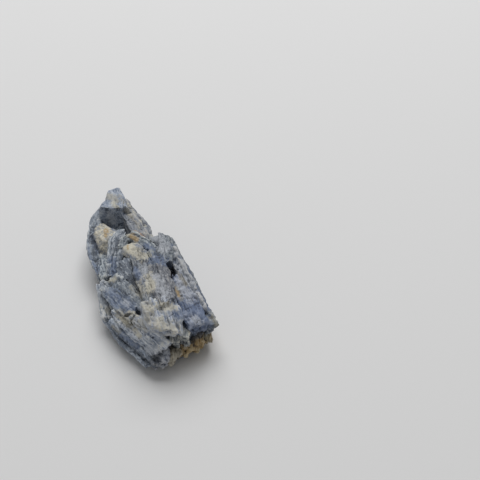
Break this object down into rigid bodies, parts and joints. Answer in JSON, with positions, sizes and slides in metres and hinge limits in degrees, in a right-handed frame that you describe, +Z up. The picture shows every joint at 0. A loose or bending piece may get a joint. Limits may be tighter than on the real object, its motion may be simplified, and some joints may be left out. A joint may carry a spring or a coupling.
{
  "type": "kyanite blade cluster",
  "caption": "Cluster of intergrown blue kyanite blades lying on its side, with golden-brown mica at its broken end and cream quartz in the hollow behind its pointed end.",
  "frame": {"origin": "on the surface the cluster rests on, under the middle of its bounding box", "axes": "+Z up; +Y along the blades, towards the pointed end, so -Y faces the broken end with the mica; +X is to the right when the broken end is seen from the front"},
  "size_m": [0.0315, 0.074, 0.0201],
  "materials": {
    "kyanite": "slate-blue and grey-white fibrous blades, dull with pearly crests and cream and rust staining in the hollows",
    "quartz": "cream granular quartz with rust-coloured stains",
    "mica": "golden-brown sheets seen edge on, dark between them and slightly glossy"
  },
  "bodies": {
    "root": {"arched_lath": "kyanite", "back_flank_blade": "kyanite", "base_left_blade": "kyanite", "base_middle_blade": "kyanite", "base_right_blade": "kyanite", "centre_blade": "kyanite", "curved_blade": "kyanite", "dark_wedge_blade": "kyanite", "end_stub_blade": "kyanite", "front_knob_blade": "kyanite", "front_upper_lath": "kyanite", "inner_right_blade": "kyanite", "knob_blade": "kyanite", "left_block_blade": "kyanite", "left_foot_blade": "kyanite", "left_rim_blade": "kyanite", "lower_left_lath_1": "kyanite", "lower_left_lath_2": "kyanite", "lower_left_lath_3": "kyanite", "mica_book": "mica", "outer_right_blade": "kyanite", "quartz_fleck": "quartz", "quartz_pocket": "quartz", "quartz_seam": "quartz", "ridge_blade": "kyanite", "right_flank_blade": "kyanite", "right_lath": "kyanite", "right_shoulder_blade": "kyanite", "small_mica_book": "mica", "terrace_blade": "kyanite", "tip_blade": "kyanite", "upper_centre_blade": "kyanite"}
  },
  "joints": []
}
